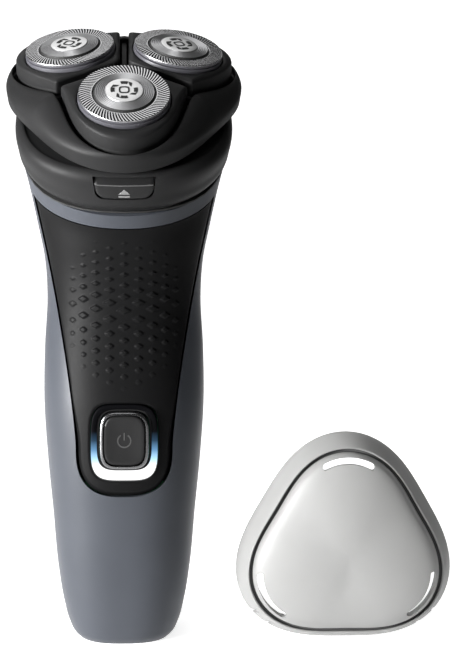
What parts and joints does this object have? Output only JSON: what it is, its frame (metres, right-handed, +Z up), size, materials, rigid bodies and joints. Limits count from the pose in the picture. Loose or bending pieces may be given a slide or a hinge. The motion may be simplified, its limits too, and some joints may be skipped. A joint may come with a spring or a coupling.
{
  "type": "electric shaver",
  "caption": "Upright rotary electric shaver with tilting heads on a flip-open shaving unit, one-touch button with light ring, and a separate protective cap.",
  "frame": {"origin": "centre of the handle's flat base, on the surface that it stands on", "axes": "+Z up along the handle, -Y towards the button and the front guard, +X to the side where the cap stands"},
  "size_m": [0.1211, 0.0587, 0.1651],
  "materials": {
    "satin_grey": "satin grey-blue moulding with a fine metallic lacquer",
    "satin_black": "satin black moulding, finely spark-eroded",
    "gloss_black": "smooth black moulding",
    "shaver_steel": "hardened stainless steel, ground and etched",
    "dark_chrome": "dark plated bezel",
    "brass": "turned brass",
    "white_nylon": "natural white nylon or acetal",
    "seal_rubber": "black seal rubber",
    "guard_ring_plastic": "lavender-grey moulding",
    "light_guide": "translucent light guide, lit cold white",
    "board_green": "solder-resist green laminate",
    "cell_wrap": "steel can in a shrink sleeve",
    "led_body": "white LED body",
    "cap_plastic": "translucent pale grey moulding"
  },
  "bodies": {
    "handle": {"rear_housing": "satin_grey", "front_panel": "satin_black", "neck_seal": "seal_rubber", "neck_collar": "satin_black", "hair_chamber": "satin_black", "gearbox_plate": "white_nylon", "motor_can": "shaver_steel", "motor_end_cap": "white_nylon", "inner_frame": "white_nylon", "battery_cell": "cell_wrap", "battery_contact_lower": "shaver_steel", "battery_contact_upper": "shaver_steel", "circuit_board": "board_green", "tact_switch": "gloss_black", "light_guide": "light_guide", "status_led": "led_body", "charging_socket": "gloss_black", "socket_contact_left": "shaver_steel", "socket_contact_right": "shaver_steel", "release_leaf_spring": "shaver_steel", "hinge_pin": "shaver_steel", "frame_screw_lower": "shaver_steel", "frame_screw_upper": "shaver_steel", "chamber_screw_1": "shaver_steel", "chamber_screw_2": "shaver_steel", "spindle_seal_1": "seal_rubber", "spindle_seal_2": "seal_rubber", "spindle_seal_3": "seal_rubber"},
    "motor_rotor": {"motor_shaft": "shaver_steel", "drive_pinion": "brass"},
    "power_button": {"power_button": "satin_black", "button_bezel": "dark_chrome"},
    "release_button": {"release_button": "gloss_black"},
    "shaving_unit": {"head_cowl": "satin_black"},
    "protective_cap": {"protective_cap": "cap_plastic"},
    "spindle_1": {"spindle_gear_1": "white_nylon", "drive_spindle_1": "white_nylon", "spindle_spring_1": "shaver_steel"},
    "lobe_1": {"head_carrier_1": "satin_black", "guard_1": "shaver_steel", "guard_ring_1": "guard_ring_plastic", "retaining_ring_1": "white_nylon"},
    "cutter_1": {"cutter_1": "shaver_steel"},
    "spindle_2": {"spindle_gear_2": "white_nylon", "drive_spindle_2": "white_nylon", "spindle_spring_2": "shaver_steel"},
    "lobe_2": {"head_carrier_2": "satin_black", "guard_2": "shaver_steel", "guard_ring_2": "guard_ring_plastic", "retaining_ring_2": "white_nylon"},
    "cutter_2": {"cutter_2": "shaver_steel"},
    "spindle_3": {"spindle_gear_3": "white_nylon", "drive_spindle_3": "white_nylon", "spindle_spring_3": "shaver_steel"},
    "lobe_3": {"head_carrier_3": "satin_black", "guard_3": "shaver_steel", "guard_ring_3": "guard_ring_plastic", "retaining_ring_3": "white_nylon"},
    "cutter_3": {"cutter_3": "shaver_steel"}
  },
  "joints": [
    {"name": "power_button_press", "type": "slide", "parent": "handle", "child": "power_button", "axis": [0, 1, 0], "range_m": [0, 0.0008], "stiffness_N_per_m": 1500},
    {"name": "release_button_press", "type": "slide", "parent": "handle", "child": "release_button", "axis": [0, 0.8829, 0.4695], "range_m": [0, 0.001], "stiffness_N_per_m": 2000},
    {"name": "shaving_unit_hinge", "type": "hinge", "parent": "handle", "child": "shaving_unit", "pos_m": [0, 0.02498, 0.15555], "axis": [-1, 0, 0], "range_deg": [0, 95]},
    {"name": "motor_spin", "type": "hinge", "parent": "handle", "child": "motor_rotor", "pos_m": [0, 0.00339, 0.13864], "axis": [0, -0.4695, 0.8829], "continuous": true},
    {"name": "cap_lift", "type": "slide", "parent": "handle", "child": "protective_cap", "axis": [0, 0, 1], "range_m": [0, 0.08]},
    {"name": "lobe_1_tilt", "type": "hinge", "parent": "shaving_unit", "child": "lobe_1", "pos_m": [0, -0.0166, 0.14274], "axis": [1, 0, 0], "range_deg": [-4, 4], "stiffness_Nm_per_rad": 0.08},
    {"name": "spindle_1_spin", "type": "hinge", "parent": "handle", "child": "spindle_1", "pos_m": [0, -0.01097, 0.13214], "axis": [0, -0.4695, 0.8829], "continuous": true},
    {"name": "cutter_1_spin", "type": "hinge", "parent": "lobe_1", "child": "cutter_1", "pos_m": [0, -0.02083, 0.14841], "axis": [0, -0.5976, 0.8018], "continuous": true},
    {"name": "lobe_2_tilt", "type": "hinge", "parent": "shaving_unit", "child": "lobe_2", "pos_m": [0.01362, 0.00423, 0.15381], "axis": [-0.5, 0.7647, 0.4066], "range_deg": [-4, 4], "stiffness_Nm_per_rad": 0.08},
    {"name": "spindle_2_spin", "type": "hinge", "parent": "handle", "child": "spindle_2", "pos_m": [0.01362, 0.00986, 0.14322], "axis": [0, -0.4695, 0.8829], "continuous": true},
    {"name": "cutter_2_spin", "type": "hinge", "parent": "lobe_2", "child": "cutter_2", "pos_m": [0.01455, 0.00142, 0.16024], "axis": [0.131, -0.3973, 0.9083], "continuous": true},
    {"name": "lobe_3_tilt", "type": "hinge", "parent": "shaving_unit", "child": "lobe_3", "pos_m": [-0.01362, 0.00423, 0.15381], "axis": [-0.5, -0.7647, -0.4066], "range_deg": [-4, 4], "stiffness_Nm_per_rad": 0.08},
    {"name": "spindle_3_spin", "type": "hinge", "parent": "handle", "child": "spindle_3", "pos_m": [-0.01362, 0.00986, 0.14322], "axis": [0, -0.4695, 0.8829], "continuous": true},
    {"name": "cutter_3_spin", "type": "hinge", "parent": "lobe_3", "child": "cutter_3", "pos_m": [-0.01455, 0.00142, 0.16024], "axis": [-0.131, -0.3973, 0.9083], "continuous": true}
  ],
  "couplings": [
    {"joint": "spindle_1_spin", "follows": "motor_spin", "ratio": -0.44},
    {"joint": "cutter_1_spin", "follows": "motor_spin", "ratio": -0.44},
    {"joint": "spindle_2_spin", "follows": "motor_spin", "ratio": -0.44},
    {"joint": "cutter_2_spin", "follows": "motor_spin", "ratio": -0.44},
    {"joint": "spindle_3_spin", "follows": "motor_spin", "ratio": -0.44},
    {"joint": "cutter_3_spin", "follows": "motor_spin", "ratio": -0.44}
  ]
}
